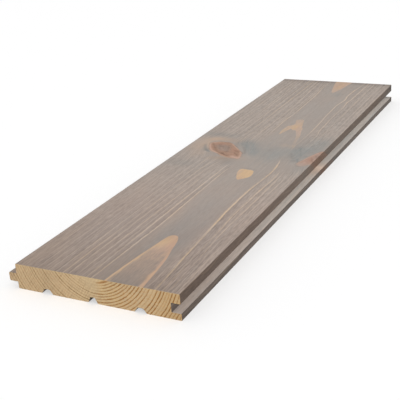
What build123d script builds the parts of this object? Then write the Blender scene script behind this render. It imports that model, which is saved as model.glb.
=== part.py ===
from build123d import *
import os

# Solid wood floorboard, one length of planed softwood with a tongue on one
# edge, a groove on the other and three relief grooves ploughed underneath.
#
# Millimetres. +X runs across the board from the tongue to the groove, +Y along
# the board from its near cut end to its far cut end, +Z up through the face.
# The origin is the centre of the board's box, on its underside.
#
# Section dimensions below are read in the board's own measures: u across the
# board from the upper shoulder beside the tongue, v up from the underside.

# overall
FACE_WIDTH = 135.0          # cover width, shoulder to upper lip
THICKNESS = 20.0
LENGTH = 540.0

# tongue
TONGUE_LENGTH = 7.0         # out from the upper shoulder
TONGUE_BOTTOM = 5.50
TONGUE_TOP = 12.25
TONGUE_NOSE = 0.8           # rounding of the tongue's two outer corners
LOWER_SHOULDER = 0.3        # shoulder under the tongue stands this far back

# groove
GROOVE_DEPTH = 7.3          # in from the upper lip
GROOVE_BOTTOM = 5.20
GROOVE_TOP = 12.40
GROOVE_CORNER = 0.3         # inner corners left by the cutter
LOWER_LIP_OUT = 0.3         # lower lip stands this far proud of the upper lip

# relief grooves in the underside: centre, mouth width, roof width, depth,
# rounding where the walls meet the roof
RELIEFS = [
    (26.0, 9.8, 4.4, 3.7, 1.5),
    (65.0, 7.9, 3.8, 4.5, 0.9),
    (103.5, 9.8, 4.4, 3.7, 1.5),
]

# edges
FACE_ARRIS = 0.6            # the two long edges of the face
LIP_ARRIS = 0.3             # the two lips at the mouth of the groove
UNDER_ARRIS_TONGUE = 0.8    # long edge underneath, tongue side
UNDER_ARRIS_GROOVE = 0.4    # long edge underneath, groove side
MOUTH_ARRIS = 0.25          # mouths of the relief grooves

os.makedirs("parts", exist_ok=True)

# u = 0 lands here, so that the box is centred on the origin
U0 = -(FACE_WIDTH + LOWER_LIP_OUT - TONGUE_LENGTH) / 2

# ---------------------------------------------------------------- section
# outline, starting under the tongue and going round by the underside
lower_left = (LOWER_SHOULDER, 0)
lower_right = (FACE_WIDTH + LOWER_LIP_OUT, 0)
outline_points = [lower_left]
roof_corners = []
mouth_corners = []
for centre, mouth, roof, depth, rounding in RELIEFS:
    rim_a, rim_b = (centre - mouth / 2, 0), (centre + mouth / 2, 0)
    top_a, top_b = (centre - roof / 2, depth), (centre + roof / 2, depth)
    outline_points += [rim_a, top_a, top_b, rim_b]
    mouth_corners += [rim_a, rim_b]
    roof_corners.append(([top_a, top_b], rounding))

lip_low = (FACE_WIDTH + LOWER_LIP_OUT, GROOVE_BOTTOM)
wall_low = (FACE_WIDTH - GROOVE_DEPTH, GROOVE_BOTTOM)
wall_high = (FACE_WIDTH - GROOVE_DEPTH, GROOVE_TOP)
lip_high = (FACE_WIDTH, GROOVE_TOP)
face_right = (FACE_WIDTH, THICKNESS)
face_left = (0, THICKNESS)
tongue_root_high = (0, TONGUE_TOP)
tongue_tip_high = (-TONGUE_LENGTH, TONGUE_TOP)
tongue_tip_low = (-TONGUE_LENGTH, TONGUE_BOTTOM)
tongue_root_low = (LOWER_SHOULDER, TONGUE_BOTTOM)
outline_points += [
    lower_right, lip_low, wall_low, wall_high, lip_high,
    face_right, face_left,
    tongue_root_high, tongue_tip_high, tongue_tip_low, tongue_root_low,
]


def at(sketch, corners):
    """The sketch's vertices that stand on the given section corners."""
    places = [Vector(u + U0, v) for u, v in corners]
    return [
        vertex for vertex in sketch.vertices()
        if any((Vector(vertex.X, vertex.Y) - place).length < 0.01 for place in places)
    ]


# ---------------------------------------------------------------- board
with BuildPart() as floorboard:
    with BuildSketch(Plane.XZ.offset(LENGTH / 2)) as section:
        with BuildLine():
            Polyline(*[(u + U0, v) for u, v in outline_points], close=True)
        make_face()
        for corners, rounding in roof_corners:
            fillet(at(section, corners), radius=rounding)
        fillet(at(section, mouth_corners), radius=MOUTH_ARRIS)
        fillet(at(section, [tongue_tip_high, tongue_tip_low]), radius=TONGUE_NOSE)
        fillet(at(section, [wall_low, wall_high]), radius=GROOVE_CORNER)
        fillet(at(section, [face_left, face_right]), radius=FACE_ARRIS)
        fillet(at(section, [lip_low, lip_high]), radius=LIP_ARRIS)
        fillet(at(section, [lower_left]), radius=UNDER_ARRIS_TONGUE)
        fillet(at(section, [lower_right]), radius=UNDER_ARRIS_GROOVE)
    extrude(amount=-LENGTH)

floorboard.part.label = "floorboard"
export_step(floorboard.part, "parts/floorboard.step")
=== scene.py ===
"""A length of solid softwood floorboard: planed face with a grey-brown stain and
two knots, tongue and groove edges, raw sawn ends, relief grooves underneath."""

import math

import bpy
import numpy as np
from mathutils import Matrix, Vector
from mathutils.geometry import delaunay_2d_cdt


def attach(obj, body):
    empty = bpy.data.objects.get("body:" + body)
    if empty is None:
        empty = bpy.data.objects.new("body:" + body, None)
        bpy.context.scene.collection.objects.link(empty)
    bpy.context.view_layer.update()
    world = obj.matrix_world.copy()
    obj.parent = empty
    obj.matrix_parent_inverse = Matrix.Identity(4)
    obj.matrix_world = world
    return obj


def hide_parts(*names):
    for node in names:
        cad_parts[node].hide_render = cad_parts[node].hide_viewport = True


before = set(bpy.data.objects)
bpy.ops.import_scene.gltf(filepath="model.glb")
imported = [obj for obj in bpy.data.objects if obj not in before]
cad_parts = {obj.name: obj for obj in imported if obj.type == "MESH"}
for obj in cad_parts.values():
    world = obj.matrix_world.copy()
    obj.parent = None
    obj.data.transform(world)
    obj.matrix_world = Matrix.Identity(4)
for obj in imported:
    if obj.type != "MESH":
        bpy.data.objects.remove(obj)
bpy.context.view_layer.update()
rng = np.random.default_rng(37)

# ------------------------------------------------------------------ sizes, mm
# u runs across from the shoulder beside the tongue, y along from the near end,
# v up from the underside. X = u + U0, Y = y - LENGTH / 2, Z = v.
FACE_WIDTH, THICKNESS, LENGTH = 135.0, 20.0, 540.0
TONGUE_LENGTH, TONGUE_BOTTOM, TONGUE_TOP, TONGUE_NOSE = 7.0, 5.50, 12.25, 0.8
LOWER_SHOULDER = 0.3
GROOVE_DEPTH, GROOVE_BOTTOM, GROOVE_TOP, GROOVE_CORNER = 7.3, 5.20, 12.40, 0.3
LOWER_LIP_OUT = 0.3
RELIEFS = [
    (26.0, 9.8, 4.4, 3.7, 1.5),
    (65.0, 7.9, 3.8, 4.5, 0.9),
    (103.5, 9.8, 4.4, 3.7, 1.5),
]
FACE_ARRIS, LIP_ARRIS, MOUTH_ARRIS = 0.6, 0.3, 0.25
UNDER_ARRIS_TONGUE, UNDER_ARRIS_GROOVE = 0.8, 0.4
U0 = -(FACE_WIDTH + LOWER_LIP_OUT - TONGUE_LENGTH) / 2
END_ARRIS = 0.22  # the sawn ends' edges, just broken

# ------------------------------------------------------------------ camera
camera_data = bpy.data.cameras.new("camera")
camera_data.lens, camera_data.sensor_width = 74.58, 36.0
camera_data.clip_start, camera_data.clip_end = 0.01, 50
camera = bpy.data.objects.new("camera", camera_data)
bpy.context.scene.collection.objects.link(camera)
right = Vector((0.89316869, 0.44492198, -0.06552956))
up = Vector((-0.11524956, 0.36729352, 0.92293717))
back = Vector((0.43470361, -0.81678633, 0.37933213))
camera.matrix_world = Matrix.Translation((0.310796, -0.682991, 0.281210)) @ Matrix(
    (right, up, back)
).transposed().to_4x4()
bpy.context.scene.camera = camera
bpy.context.scene.view_settings.view_transform = "Standard"
bpy.context.scene.view_settings.look = "None"


# ------------------------------------------------------------------ helpers
def smoothstep(x, lo, hi):
    t = np.clip((np.asarray(x, float) - lo) / (hi - lo), 0, 1)
    return t * t * (3 - 2 * t)


def curve(points):
    """A monotone cubic through (x, y) points, as a function that gives value and slope. It goes on straight past the ends."""
    xk = np.array([p[0] for p in points], float)
    yk = np.array([p[1] for p in points], float)
    h = np.diff(xk)
    s = np.diff(yk) / h
    m = np.empty_like(yk)
    total = s[:-1] + s[1:]
    m[1:-1] = np.where(
        s[:-1] * s[1:] > 0, 2 * s[:-1] * s[1:] / np.where(total == 0, 1, total), 0
    )
    m[0], m[-1] = s[0], s[-1]

    def f(x):
        x = np.asarray(x, float)
        c = np.clip(x, xk[0], xk[-1])
        i = np.clip(np.searchsorted(xk, c, side="right") - 1, 0, len(h) - 1)
        t = (c - xk[i]) / h[i]
        a, b, ma, mb = yk[i], yk[i + 1], m[i] * h[i], m[i + 1] * h[i]
        value = (
            a * (2 * t**3 - 3 * t**2 + 1)
            + ma * (t**3 - 2 * t**2 + t)
            + b * (3 * t**2 - 2 * t**3)
            + mb * (t**3 - t**2)
        )
        slope = (
            a * (6 * t**2 - 6 * t)
            + ma * (3 * t**2 - 4 * t + 1)
            + b * (6 * t - 6 * t**2)
            + mb * (3 * t**2 - 2 * t)
        ) / h[i]
        value = value + np.where(x < xk[0], m[0] * (x - xk[0]), 0)
        value = value + np.where(x > xk[-1], m[-1] * (x - xk[-1]), 0)
        return value, slope

    return f


def linear(points):
    xk, yk = zip(*points)
    return lambda x: np.interp(x, xk, yk)


def closed_spline(points, each=6):
    """Catmull-Rom points round a closed outline."""
    p = np.array(points, float)
    a, b, c, d = np.roll(p, 1, 0), p, np.roll(p, -1, 0), np.roll(p, -2, 0)
    out = []
    for t in np.arange(each) / each:
        out.append(
            0.5
            * (
                2 * b
                + (c - a) * t
                + (2 * a - 5 * b + 4 * c - d) * t**2
                + (3 * b - a - 3 * c + d) * t**3
            )
        )
    return np.stack(out, 1).reshape(-1, 2)


def signed_distance(px, py, outline):
    """mm to the outline, positive inside."""
    a = np.array(outline, float)
    b = np.roll(a, -1, 0)
    best = np.full(px.shape, 1e9)
    inside = np.zeros(px.shape, bool)
    for (ax, ay), (bx, by) in zip(a, b):
        dx, dy = bx - ax, by - ay
        t = np.clip(((px - ax) * dx + (py - ay) * dy) / (dx * dx + dy * dy + 1e-12), 0, 1)
        best = np.minimum(best, np.hypot(px - ax - t * dx, py - ay - t * dy))
        if ay != by:
            crosses = (ay > py) != (by > py)
            inside ^= crosses & (px < dx * (py - ay) / (by - ay) + ax)
    return np.where(inside, best, -best)


def blob(x, y, cx, cy, rx, ry, turn=0.0):
    """A soft round patch, 1 at its centre."""
    c, s = math.cos(math.radians(turn)), math.sin(math.radians(turn))
    a, b = (x - cx) * c + (y - cy) * s, -(x - cx) * s + (y - cy) * c
    return np.exp(-((a / rx) ** 2 + (b / ry) ** 2))


def stroke(x, y, points, width):
    """A soft line drawn through points, 1 along its middle."""
    best = np.full(np.shape(x), 1e9)
    for (ax, ay), (bx, by) in zip(points, points[1:]):
        dx, dy = bx - ax, by - ay
        t = np.clip(((x - ax) * dx + (y - ay) * dy) / (dx * dx + dy * dy), 0, 1)
        best = np.minimum(best, np.hypot(x - ax - t * dx, y - ay - t * dy))
    return np.exp(-((best / width) ** 2))


def waves(t, seed, lengths=(170, 95, 52), sizes=(1, 0.6, 0.35)):
    """A smooth wandering line, about -1 to 1."""
    r = np.random.default_rng(seed)
    out = 0
    for length, size in zip(lengths, sizes):
        out = out + size * np.sin(2 * math.pi * (np.asarray(t) / length + r.random()))
    return out / sum(sizes)


# ------------------------------------------------------------------ section
# corners (u, v, rounding) anticlockwise seen from the near end, and the zone
# of the side that leaves each one
corners = [(LOWER_SHOULDER, 0, UNDER_ARRIS_TONGUE, "under")]
for centre, mouth, roof, depth, rounding in RELIEFS:
    corners += [
        (centre - mouth / 2, 0, MOUTH_ARRIS, "relief"),
        (centre - roof / 2, depth, rounding, "relief"),
        (centre + roof / 2, depth, rounding, "relief"),
        (centre + mouth / 2, 0, MOUTH_ARRIS, "under"),
    ]
edge = FACE_WIDTH + LOWER_LIP_OUT
wall = FACE_WIDTH - GROOVE_DEPTH
corners += [
    (edge, 0, UNDER_ARRIS_GROOVE, "low_lip"),
    (edge, GROOVE_BOTTOM, LIP_ARRIS, "groove_floor"),
    (wall, GROOVE_BOTTOM, GROOVE_CORNER, "groove_wall"),
    (wall, GROOVE_TOP, GROOVE_CORNER, "groove_roof"),
    (FACE_WIDTH, GROOVE_TOP, LIP_ARRIS, "high_lip"),
    (FACE_WIDTH, THICKNESS, FACE_ARRIS, "face"),
    (0, THICKNESS, FACE_ARRIS, "shoulder"),
    (0, TONGUE_TOP, 0, "tongue_top"),
    (-TONGUE_LENGTH, TONGUE_TOP, TONGUE_NOSE, "tongue_nose"),
    (-TONGUE_LENGTH, TONGUE_BOTTOM, TONGUE_NOSE, "tongue_under"),
    (LOWER_SHOULDER, TONGUE_BOTTOM, 0, "low_shoulder"),
]
SPACING = {"face": 0.92, "under": 1.9, "relief": 1.5, "tongue_top": 1.6}
ARC_STEPS = 4


def section():
    """Points round the section, and the zone of the side that leaves each."""
    points, zones = [], []
    n = len(corners)
    ends = []
    for i, (u, v, r, _) in enumerate(corners):
        p = np.array((u, v), float)
        before = np.array(corners[i - 1][:2], float)
        after = np.array(corners[(i + 1) % n][:2], float)
        a, b = (before - p), (after - p)
        a, b = a / np.linalg.norm(a), b / np.linalg.norm(b)
        if r == 0:
            ends.append([p])
            continue
        half = math.acos(np.clip(a @ b, -1, 1)) / 2
        cut = r / math.tan(half)
        centre = p + (a + b) / np.linalg.norm(a + b) * r / math.sin(half)
        start, stop = p + a * cut - centre, p + b * cut - centre
        t0, t1 = math.atan2(start[1], start[0]), math.atan2(stop[1], stop[0])
        turn = (t1 - t0 + math.pi) % (2 * math.pi) - math.pi
        steps = ARC_STEPS if r > 0.25 else 3
        ends.append(
            [
                centre + r * np.array((math.cos(t0 + turn * k / steps), math.sin(t0 + turn * k / steps)))
                for k in range(steps + 1)
            ]
        )
    for i in range(n):
        zone_before, zone_after = corners[i - 1][3], corners[i][3]
        arc = ends[i]
        # an arris belongs to the face where it borders it
        own = "face" if "face" in (zone_before, zone_after) else zone_after
        if (zone_before, zone_after) == ("low_lip", "groove_floor"):
            own = "low_lip"
        for k, p in enumerate(arc[:-1]):
            points.append(p)
            zones.append(own)
        a, b = arc[-1], ends[(i + 1) % n][0]
        side = np.linalg.norm(b - a)
        count = max(1, math.ceil(side / SPACING.get(zone_after, 1.5)))
        shares = [k / count for k in range(count)]
        if side > 1.2 and zone_after != "face":
            shares = sorted(shares + [0.14 / side, 1 - 0.14 / side])
        for k in shares:
            points.append(a + (b - a) * k)
            zones.append(zone_after)
    return np.array(points), zones


outline, side_zone = section()
P = len(outline)

# outward direction at each point of the section
ahead, behind = np.roll(outline, -1, 0) - outline, outline - np.roll(outline, 1, 0)
ahead /= np.linalg.norm(ahead, axis=1)[:, None]
behind /= np.linalg.norm(behind, axis=1)[:, None]
n_ahead = np.stack([ahead[:, 1], -ahead[:, 0]], 1)
n_behind = np.stack([behind[:, 1], -behind[:, 0]], 1)
outward = n_ahead + n_behind
outward /= (outward * outward).sum(1)[:, None] / 2  # meets both sides' offsets

# ------------------------------------------------------------------ stations
# close together where the figure is busy
density = linear(
    [
        (0, 3.2), (55, 3.2), (60, 2.4), (95, 2.4), (100, 4.2), (190, 4.2), (195, 2.3),
        (232, 2.3), (240, 1.5), (306, 1.5), (312, 3.2), (326, 2.6), (386, 2.6),
        (392, 4.2), (482, 4.2), (488, 2.6), (500, 3.4), (540, 3.4),
    ]
)
stations = [0.0, END_ARRIS]
while stations[-1] < LENGTH - END_ARRIS - 3.0:
    stations.append(stations[-1] + float(density(stations[-1])))
stations += [LENGTH - END_ARRIS, LENGTH]
stations = np.array(stations)
S = len(stations)

u = np.tile(outline[:, 0], (S, 1))
v = np.tile(outline[:, 1], (S, 1))
y = np.tile(stations[:, None], (1, P))
for row in (0, S - 1):
    u[row] -= outward[:, 0] * END_ARRIS
    v[row] -= outward[:, 1] * END_ARRIS

# ------------------------------------------------------------------ knots
# Two side branches run outwards and down through the board, so each knot shifts
# with depth below the face. The grain passes round the ellipse; the rim follows
# the outline.
KNOTS = [
    dict(
        u=42.3, y=273.4, long=28.0, wide=11.0, along=(-0.726, 0.687), du=-1.67, dy=1.38, reach=42.0, side=34.0,
        rim=[
            (19.4, 287.4), (21.8, 290.2), (26, 292.2), (30.4, 293.6), (36, 293.6), (41, 291.4), (45, 287.6), (48.4, 283.4),
            (52, 279.2), (55.2, 275.4), (58.4, 272), (61.2, 268.8), (63, 264.4), (64.2, 259.6), (65.3, 255), (65.3, 252.2),
            (61.6, 251.2), (56.6, 251.6), (51.8, 252.4), (47.2, 254.0), (43.6, 256.0), (40.4, 258.8), (36.8, 261.2), (33, 263.4), (29, 266.4), (25, 271.2), (22, 277), (19.8, 282.6),
        ],
    ),
    dict(
        u=138.0, y=271.0, long=29.0, wide=12.0, along=(0.42, 0.907), du=-0.25, dy=1.15, reach=34.0, side=16.0,
        rim=[
            (135.4, 293.6), (132.6, 291.6), (130.4, 287), (128.8, 282.4), (127.4, 278), (125.4, 272.4), (124, 266.4), (122.8, 260.6),
            (121.2, 255.4), (121.8, 251.4), (124, 249.2), (127.4, 248), (130.2, 249.2), (132.4, 252.6), (135, 255.4), (140, 259), (147, 266), (150, 276), (151, 287), (149, 296),
            (144, 300), (139, 298),
        ],
    ),
]
for k in KNOTS:
    ex, ey = np.array(k["along"]) / np.hypot(*k["along"])
    r_u, r_y = closed_spline(k["rim"]).T - np.array([[k["u"]], [k["y"]]])
    r_a, r_b = (r_u * ex + r_y * ey) / k["long"], (-r_u * ey + r_y * ex) / k["wide"]
    turn = np.arctan2(r_b, r_a)
    order = np.argsort(turn)
    k["rim_turn"], k["rim_size"] = turn[order], np.hypot(r_a, r_b)[order]


def knot_frame(k, u, y, v):
    """Where a point stands in a knot: along and across its ellipse, 1 at the rim, and mm from its centre."""
    depth = THICKNESS - v
    du, dy = u - k["u"] - k["du"] * depth, y - k["y"] - k["dy"] * depth
    ex, ey = np.array(k["along"]) / np.hypot(*k["along"])
    return (du * ex + dy * ey) / k["long"], (-du * ey + dy * ex) / k["wide"], du, dy


def knot_rim(k, u, y, v):
    """The same two, scaled so that they are 1 from the centre at the drawn rim."""
    a, b, _, _ = knot_frame(k, u, y, v)
    size = np.interp(np.arctan2(b, a), k["rim_turn"], k["rim_size"], period=2 * math.pi)
    return a / size, b / size


def grain_shift(k, u, y, v):
    """How far the fibres swing aside to pass a knot: plane flow along the board round its ellipse, fading away from it."""
    a, b, du, dy = knot_frame(k, u, y, v)
    ex, ey = np.array(k["along"]) / np.hypot(*k["along"])
    z = a * k["long"] + 1j * b * k["wide"]
    turn = ey + 1j * ex
    c2 = k["long"] ** 2 - k["wide"] ** 2
    root = np.sqrt(z * z - c2 + 0j)
    zeta = np.where(np.abs(z + root) >= np.abs(z - root), (z + root) / 2, (z - root) / 2)
    radius = (k["long"] + k["wide"]) / 2
    w = zeta / turn + radius**2 * turn / zeta
    across = -w.imag
    inside = a * a + b * b < 1
    across = np.where(inside, 0.0, across)
    fade = np.exp(-((np.abs(dy) / k["reach"]) ** 2.4)) * np.exp(-((np.abs(du) / k["side"]) ** 2.4))
    return (across - du) * fade


shift = grain_shift(KNOTS[0], u, y, v) + grain_shift(KNOTS[1], u, y, v)
fibre_u = u + shift

# ------------------------------------------------------------------ face lines
# Where the late wood of each ring comes to the face: (y, u) along it, (y,
# strength) and how orange it is. Lines of no strength only space the others.
LINES = [
    ([(0, -9), (540, -12)], [(0, 0.2)], 0.2),
    ([(0, -4), (540, -7)], [(0, 0.2)], 0.2),
    ([(0, 1.5), (540, -2.5)], [(0, 0.25), (540, 0.3)], 0.2),
    ([(0, 6), (260, 6), (540, 3)], [(0, 0.35), (200, 0.25), (540, 0.45)], 0.2),
    ([(0, 10.6), (260, 10.6), (540, 8)], [(0, 0.45), (120, 0.3), (540, 0.4)], 0.3),
    ([(0, 15.2), (260, 15.2), (540, 12.5)], [(0, 0.4), (200, 0.4), (540, 0.5)], 0.2),
    ([(0, 19.4), (260, 19.6), (540, 17.2)], [(0, 0.5), (100, 0.35), (540, 0.45)], 0.3),
    ([(0, 24.6), (200, 24.4), (400, 24.6), (540, 22)], [(0, 0.5), (200, 0.35), (400, 0.55), (540, 0.5)], 0.25),
    ([(0, 30.2), (200, 30), (400, 28), (540, 26)], [(0, 0.55), (150, 0.45), (400, 0.6), (540, 0.6)], 0.3),
    ([(0, 36.4), (200, 35.6), (400, 35), (540, 34)], [(0, 0.55), (60, 0.7), (200, 0.5), (400, 0.6), (540, 0.55)], 0.35),
    ([(0, 41.8), (300, 42), (540, 40)], [(0, 0.5), (50, 0.85), (90, 0.55), (400, 0.65), (540, 0.5)], 0.55),
    ([(0, 46.6), (300, 47), (540, 45)], [(0, 0.6), (100, 0.7), (200, 0.55), (400, 0.65), (540, 0.6)], 0.35),
    ([(0, 53), (200, 53.2), (330, 54.2), (430, 53.6), (490, 50.6), (540, 48)], [(0, 0.5), (65, 0.8), (200, 0.55), (350, 0.75), (500, 0.65), (540, 0.5)], 0.4),
    ([(0, 57.4), (200, 57.4), (330, 58.6), (430, 58.4), (540, 54)], [(0, 0.4), (200, 0.4), (350, 0.45), (540, 0.4)], 0.2),
    ([(0, 61.6), (210, 61.4), (240, 60), (330, 61.6), (430, 61), (540, 57.6)], [(0, 0.65), (60, 0.85), (200, 0.75), (240, 0.5), (340, 0.35), (540, 0.4)], 0.35),
    ([(0, 66), (60, 67), (95, 68), (135, 67.5), (200, 66), (235, 65.6), (300, 65.6), (347, 64.5), (380, 63.6), (395, 65), (440, 64), (480, 63), (500, 61.2), (540, 59.6)],
     [(0, 0.7), (40, 0.8), (80, 1.1), (170, 1.05), (200, 0.8), (235, 0.45), (250, 0.15), (300, 0.1), (335, 0.5), (380, 0.8), (430, 0.9), (500, 0.7), (540, 0.6)], 0.5),
    ([(0, 71), (540, 64.5)], [(0, 0)], 0.5),
    ([(0, 77), (200, 76), (540, 70)], [(0, 0)], 0.5),
    ([(0, 84), (200, 83), (540, 77)], [(0, 0)], 0.5),
    ([(0, 91.5), (200, 89.5), (540, 84)], [(0, 0)], 0.5),
    ([(0, 99), (200, 95.5), (540, 90.5)], [(0, 0)], 0.5),
    ([(0, 108), (120, 103), (200, 101), (540, 97)], [(0, 0)], 0.5),
    ([(0, 117), (25, 115.3), (45, 113.3), (60, 112.1), (80, 110.9), (100, 109.6), (120, 108.2), (140, 106.9), (180, 106.4), (205, 107.7), (226, 108.6), (240, 107.8), (250, 106.2), (262, 104.0), (300, 103.4), (345, 104), (380, 102.5), (400, 101), (430, 100), (440, 99.6), (450, 100.5), (465, 102), (480, 100.2), (500, 100.6), (530, 103.6), (540, 104.6)],
     [(0, 0.8), (40, 1.0), (90, 1.1), (160, 1.2), (185, 1.15), (210, 0.9), (240, 1.2), (252, 0.6), (262, 0.1), (330, 0.3), (350, 0.6), (400, 0.68), (440, 0.85), (500, 0.92), (540, 0.85)], 0.75),
    ([(0, 122.2), (60, 119.4), (100, 117.5), (130, 115.6), (180, 115.5), (215, 116.5), (235, 115), (290, 113.6), (335, 113.4), (350, 111), (370, 110), (410, 109), (430, 109.4), (455, 107.6), (465, 108.4), (540, 108.8)],
     [(0, 0.3), (60, 0.4), (100, 0.5), (130, 0.75), (180, 0.85), (225, 0.8), (238, 0.2), (300, 0.15), (340, 0.5), (400, 0.65), (470, 0.75), (540, 0.7)], 0.6),
    ([(0, 126.4), (60, 123.4), (100, 121), (180, 120.6), (300, 118.6), (430, 117.2), (520, 116), (540, 116)],
     [(0, 0.35), (60, 0.4), (100, 0.75), (130, 0.5), (200, 0.55), (240, 0.3), (330, 0.25), (400, 0.55), (540, 0.6)], 0.6),
    ([(0, 129.8), (100, 125.8), (200, 125.4), (400, 121.8), (540, 120.4)], [(0, 0.4), (100, 0.5), (200, 0.5), (250, 0.2), (340, 0.3), (540, 0.5)], 0.3),
    ([(0, 132.8), (100, 130), (200, 129.6), (400, 126.2), (540, 125.6)], [(0, 0.45), (100, 0.45), (240, 0.3), (340, 0.35), (540, 0.5)], 0.3),
    ([(0, 136), (100, 133), (200, 132.8), (400, 130.2), (540, 129.8)], [(0, 0.4), (240, 0.3), (340, 0.35), (540, 0.45)], 0.25),
    ([(0, 139.5), (200, 136.6), (400, 134.2), (540, 133.6)], [(0, 0.3), (540, 0.4)], 0.2),
    ([(0, 143), (540, 138)], [(0, 0.2)], 0.2),
    ([(0, 148), (540, 143)], [(0, 0.2)], 0.2),
]
places = [curve(p) for p, _, _ in LINES]
strengths = [linear(s) for _, s, _ in LINES]
face_phase, face_gap = np.zeros_like(u), np.ones_like(u)
face_line, face_warm = np.zeros_like(u), np.zeros_like(u)
index = np.arange(len(LINES), dtype=float)
warm_of = np.array([w for _, _, w in LINES])
for row in range(S):
    at = stations[row]
    xs = np.array([float(f(at)[0]) for f in places])
    for k in range(1, len(xs)):
        xs[k] = max(xs[k], xs[k - 1] + 1.0)
    phase, slope = curve(list(zip(xs, index)))(fibre_u[row])
    face_phase[row] = phase
    face_gap[row] = 1 / np.maximum(slope, 0.02)
    face_line[row] = np.interp(fibre_u[row], xs, [float(s(at)) for s in strengths])
    face_warm[row] = np.interp(fibre_u[row], xs, warm_of)
# the lines beside the knots are drowned in stain
k1 = knot_rim(KNOTS[0], u, y, v)
k2 = knot_rim(KNOTS[1], u, y, v)
r_first, r_second = np.hypot(k1[0], k1[1]), np.hypot(k2[0], k2[1])
calm = np.maximum(1 - smoothstep(r_first, 1.2, 2.3), 1 - smoothstep(r_second, 1.2, 2.5))
calm = np.maximum(calm, 1.0 * blob(u, y, 60, 286, 16, 26))
calm = np.maximum(calm, 0.75 * blob(u, y, 118, 276, 15, 28))
calm = np.maximum(calm, 0.5 * blob(u, y, 14, 300, 18, 24))
face_line *= 1 - 0.9 * np.maximum(calm - 0.8 * blob(u, y, 106, 246, 4, 12), 0)
face_line *= 1 - 0.14 * (1 - smoothstep(u, 26, 46)) * (1 - smoothstep(y, 90, 190))
face_line *= 1 - 0.22 * (1 - smoothstep(u, 58, 64)) * smoothstep(y, 60, 100) * (1 - smoothstep(y, 390, 430))
face_line *= 1 - 0.28 * smoothstep(u, 112, 116) * blob(0 * u, y, 0, 106, 1, 34)
face_line = np.maximum(face_line, 0)
face_warm *= 1 - 0.45 * (u > 95) * smoothstep(y, 300, 345)
face_outer = np.where(u < 88, -1.0, 1.0)
# small lines between the strong ones, none across the plain middle
face_fine = 1 - smoothstep(fibre_u, 62, 70) * (1 - smoothstep(fibre_u, 103, 112))
face_fine *= np.where(
    u < 85,
    linear([(0, 0.46), (60, 0.54), (110, 0.66), (160, 0.60), (200, 0.64), (300, 0.78), (400, 0.86), (540, 0.98)])(y),
    linear([(0, 0.92), (110, 0.92), (200, 0.80), (400, 0.95), (540, 1.05)])(y),
)
face_fine *= 1 - 0.75 * calm

# ------------------------------------------------------------------ ring field
# Rings round the pith, which runs above the face: they show on both ends, the
# underside and the edges. (radius, strength to the right, to the left)
RINGS = [
    (14.0, 0.2, 0.2), (17.0, 0.2, 0.2), (19.6, 0.2, 0.2), (22.0, 0.1, 0.1),
    (24.5, 1.25, 0.2), (26.8, 0.55, 0.2), (28.9, 0.8, 0.25), (31.1, 0.85, 0.3),
    (33.4, 1.05, 0.75), (35.5, 0.6, 0.2), (37.7, 0.85, 0.35), (40.1, 0.9, 1.0),
    (42.4, 0.75, 0.3), (44.8, 0.9, 0.2), (47.0, 0.6, 0.2), (49.5, 0.8, 0.65),
    (52.2, 0.25, 0.35), (54.9, 1.05, 0.4), (57.6, 1.15, 0.55), (59.8, 0.95, 0.5),
    (62.1, 0.3, 0.25), (63.8, 0.25, 0.2), (65.7, 1.15, 0.5), (68.1, 1.0, 0.5),
    (70.6, 0.5, 0.45), (72.8, 0.6, 0.3), (75.2, 1.15, 1.0), (77.6, 0.6, 0.5),
    (80.0, 0.7, 0.5), (82.6, 0.7, 0.5), (85.4, 0.7, 0.5), (88.4, 0.7, 0.5),
    (91.6, 0.7, 0.5), (95.0, 0.7, 0.5),
]
ring_phase = curve([(r, k) for k, (r, _, _) in enumerate(RINGS)])


def rings(u, y, v):
    """Ring phase, mm of radius to a ring, late wood strength, share that is right of the pith, radius and angle."""
    pith_u = 68.0 + 2.6 * (waves(y, 5) - waves(0, 5))
    pith_v = 41.6 + 0.009 * y + 1.5 * (waves(y, 9, (230, 120, 64)) - waves(0, 9, (230, 120, 64)))
    du, dv = u - pith_u, pith_v - v
    radius, angle = np.hypot(du, dv), np.arctan2(du, dv)
    to_right = smoothstep(angle, math.radians(-9), math.radians(7))
    phase, slope = ring_phase(radius + 0.9 * (1 - smoothstep(angle, math.radians(-30), 0)))
    at = np.arange(len(RINGS))
    strong_right = np.interp(phase, at, [a for _, a, _ in RINGS])
    strong_left = np.interp(phase, at, [b for _, _, b in RINGS])
    return phase, 1 / slope, strong_left + (strong_right - strong_left) * to_right, to_right, radius, angle


on_face = np.zeros(P, bool)
for j in range(P):
    on_face[j] = outline[j, 1] > THICKNESS - FACE_ARRIS - 0.01
body_ring = rings(fibre_u, y, v)
face_mask = np.tile(on_face, (S, 1))
phase = np.where(face_mask, face_phase, body_ring[0] + 40)
# off the face a ring meets the surface at a slant, so its lines lie further apart than the rings do
slant = np.clip(np.abs(np.sin(body_ring[5])), 0.3, 1)
upright = np.abs(np.tile(outward[:, 0] / np.linalg.norm(outward, axis=1), (S, 1)))
slant = slant * (1 - upright) + np.clip(np.abs(np.cos(body_ring[5])), 0.3, 1) * upright
gap = np.where(face_mask, face_gap, body_ring[1] / slant)
in_groove = np.tile([z == "groove_floor" for z in side_zone], (S, 1))
line = np.where(face_mask, face_line, 0.62 * body_ring[2] * np.where(in_groove, 0.15, 1.0))
warm_line = np.where(face_mask, face_warm, 0.4)
outer = np.where(face_mask, face_outer, 1.0)
fine = np.where(face_mask, face_fine, np.where(in_groove, 0.15, 0.5))

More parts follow.
